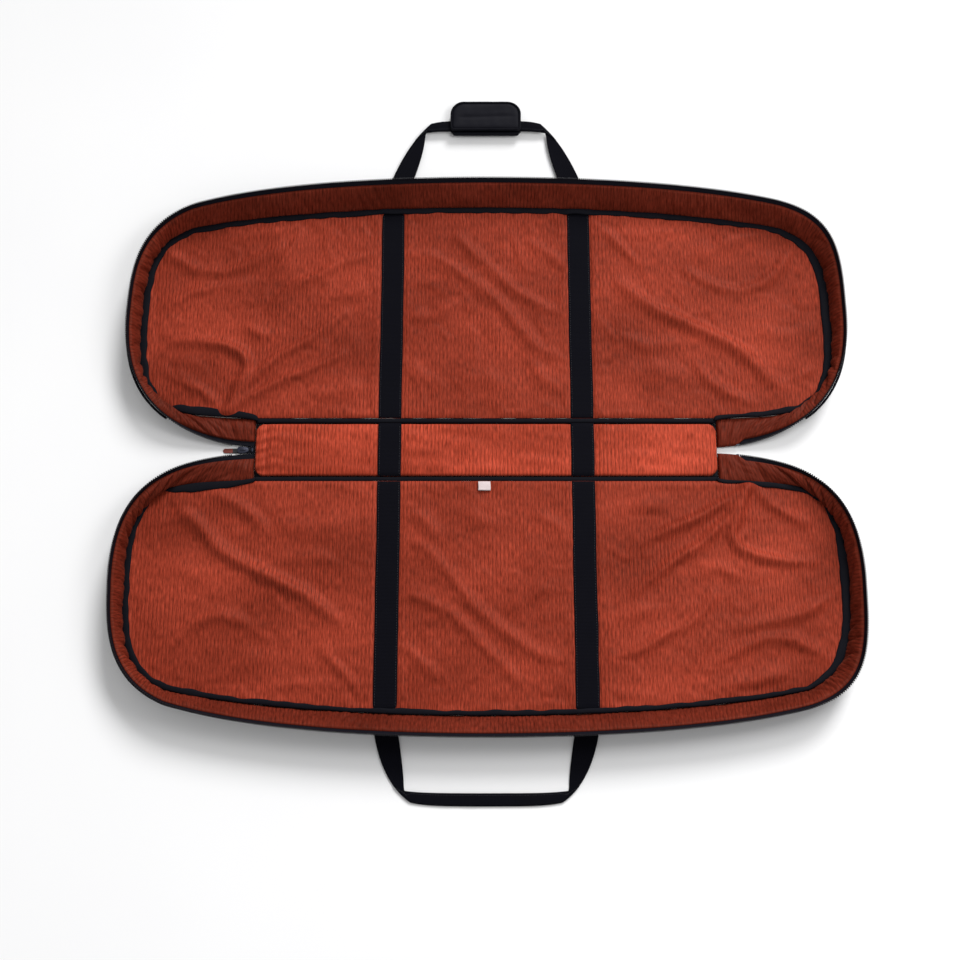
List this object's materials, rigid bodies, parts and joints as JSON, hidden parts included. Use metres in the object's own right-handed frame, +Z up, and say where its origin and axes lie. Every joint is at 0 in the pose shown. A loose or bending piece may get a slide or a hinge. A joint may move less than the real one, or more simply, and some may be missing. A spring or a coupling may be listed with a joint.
{
  "type": "board bag",
  "caption": "Padded clamshell bag for long flat boards, lying open: half trays joined by a spine panel, a zip round the rims, webbing straps and handles, and a folding grip.",
  "frame": {"origin": "middle of the open bag's outline with its handles, on the surface it lies on", "axes": "+X along the bag, +Y from the lid half towards the base half, +Z up out of the open trays"},
  "size_m": [1.2004, 1.2132, 0.0548],
  "materials": {
    "outer_fabric": "matte woven polyester, coated inside",
    "foam": "closed-cell foam sheet",
    "lining": "fine ribbed nylon with a silky sheen",
    "piping": "bias tape over cord",
    "webbing": "flat woven webbing",
    "zip_tape": "knitted zip tape",
    "zip_teeth": "moulded coil",
    "zip_metal": "satin black paint",
    "pull_cord": "braided cord loop",
    "grip_fabric": "smooth padded fabric",
    "grip_binding": "folded tape",
    "hook_tape": "hook tape",
    "loop_tape": "loop tape",
    "label": "plain satin tape"
  },
  "bodies": {
    "base": {"base_outer_panel": "outer_fabric", "base_panel_foam": "foam", "base_panel_lining": "lining", "base_outer_wall": "outer_fabric", "base_wall_foam": "foam", "base_wall_lining": "lining", "base_panel_piping": "piping", "base_fold_piping": "piping", "base_rim_piping": "piping", "base_zip_tape": "zip_tape", "base_zip_teeth": "zip_teeth", "base_zip_top_stop": "zip_metal", "base_inner_strap_left": "webbing", "base_inner_strap_right": "webbing", "base_carry_strap_left": "webbing", "base_carry_strap_right": "webbing"},
    "base_handle": {"base_handle_webbing": "webbing", "grip_back_leaf": "grip_fabric", "grip_back_trim": "grip_binding", "grip_hook_patch": "hook_tape", "grip_fold_binding": "grip_binding"},
    "grip_flap": {"grip_front_leaf": "grip_fabric", "grip_front_trim": "grip_binding", "grip_loop_patch": "loop_tape"},
    "spine": {"spine_outer_panel": "outer_fabric", "spine_foam": "foam", "spine_lining": "lining", "spine_inner_strap_left": "webbing", "spine_inner_strap_right": "webbing", "spine_carry_strap_left": "webbing", "spine_carry_strap_right": "webbing", "zip_closed_end": "zip_teeth", "zip_bottom_stop": "zip_metal"},
    "slider": {"zip_slider": "zip_metal"},
    "pull": {"zip_pull": "pull_cord"},
    "lid": {"lid_outer_panel": "outer_fabric", "lid_panel_foam": "foam", "lid_panel_lining": "lining", "lid_outer_wall": "outer_fabric", "lid_wall_foam": "foam", "lid_wall_lining": "lining", "lid_panel_piping": "piping", "lid_fold_piping": "piping", "lid_rim_piping": "piping", "lid_zip_tape": "zip_tape", "lid_zip_teeth": "zip_teeth", "lid_zip_top_stop": "zip_metal", "lid_inner_strap_left": "webbing", "lid_inner_strap_right": "webbing", "lid_carry_strap_left": "webbing", "lid_carry_strap_right": "webbing", "care_label": "label"},
    "lid_handle": {"lid_handle_webbing": "webbing"}
  },
  "joints": [
    {"name": "spine_fold", "type": "hinge", "parent": "base", "child": "spine", "pos_m": [0, 0.01765, 0.0055], "axis": [-1, 0, 0], "range_deg": [0, 90]},
    {"name": "lid_fold", "type": "hinge", "parent": "spine", "child": "lid", "pos_m": [0, -0.08235, 0.0055], "axis": [-1, 0, 0], "range_deg": [0, 90]},
    {"name": "base_handle_lift", "type": "hinge", "parent": "base", "child": "base_handle", "pos_m": [0, 0.41665, 0.0024], "axis": [1, 0, 0], "range_deg": [0, 30]},
    {"name": "lid_handle_lift", "type": "hinge", "parent": "lid", "child": "lid_handle", "pos_m": [0, -0.48135, 0.0024], "axis": [1, 0, 0], "range_deg": [-45, 0]},
    {"name": "grip_open", "type": "hinge", "parent": "base_handle", "child": "grip_flap", "pos_m": [0, 0.54745, 0.0099], "axis": [-1, 0, 0], "range_deg": [-150, 0]},
    {"name": "slider_run", "type": "slide", "parent": "spine", "child": "slider", "axis": [-1, 0, 0], "range_m": [-0.004, 0.01]},
    {"name": "pull_swing", "type": "hinge", "parent": "slider", "child": "pull", "pos_m": [-0.401, -0.03235, 0.00065], "axis": [0, -1, 0], "range_deg": [0, 150]}
  ],
  "couplings": [
    {"joint": "lid_fold", "follows": "spine_fold", "ratio": 1}
  ]
}
